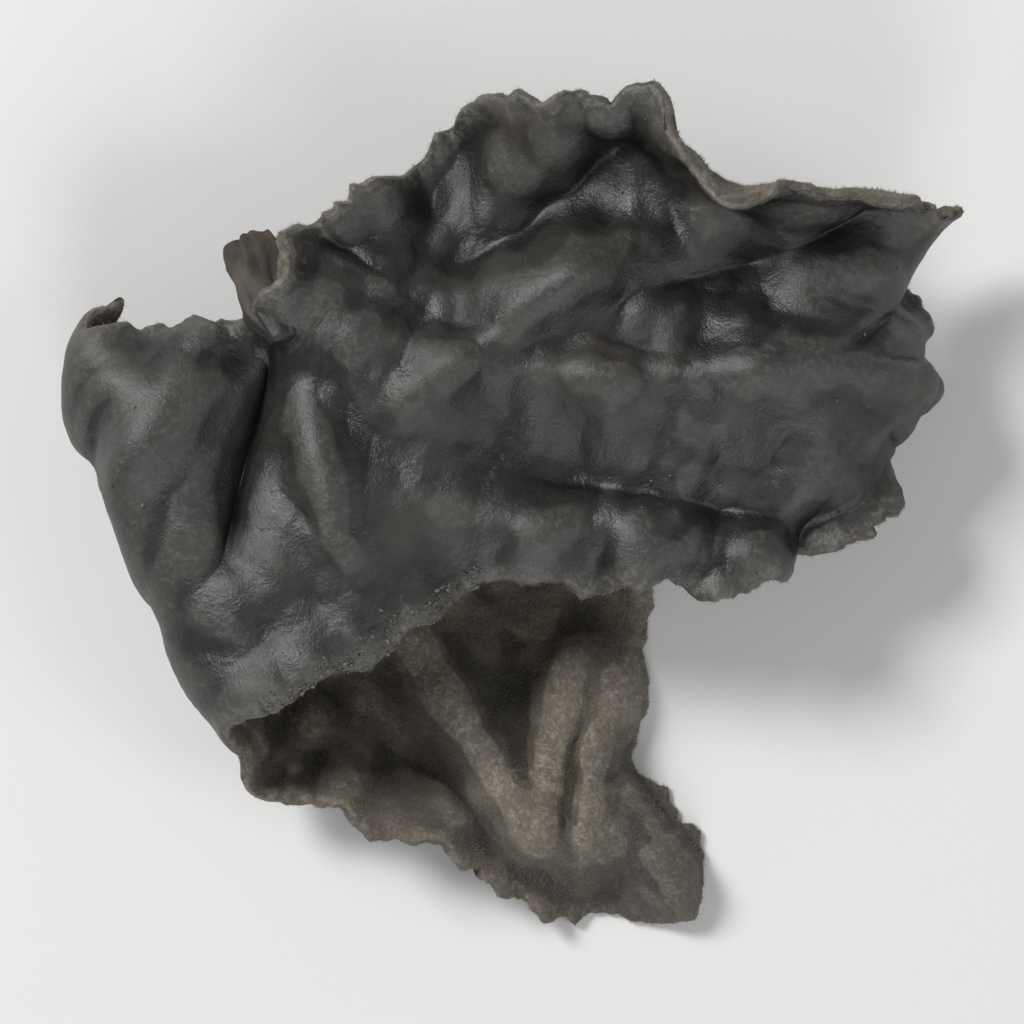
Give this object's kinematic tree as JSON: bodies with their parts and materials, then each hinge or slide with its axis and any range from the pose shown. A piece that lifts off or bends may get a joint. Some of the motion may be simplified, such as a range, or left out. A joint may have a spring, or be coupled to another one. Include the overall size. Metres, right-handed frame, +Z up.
{
  "type": "dried wood ear mushroom",
  "caption": "Dried wood ear mushroom: a thin crinkled ear, dark and smooth on one face, brown and downy on the other, folded under along one side; food to soak and cook.",
  "frame": {"origin": "middle of the ear's bounding box, on the surface it lies on", "axes": "+Z up from that surface; +X to the right along the longest extent, from the folded side to the free lobe; +Y towards the foot"},
  "size_m": [0.0358, 0.0336, 0.011],
  "materials": {
    "dried_ear": "satin"
  },
  "bodies": {
    "root": {"ear": "dried_ear"}
  },
  "joints": []
}
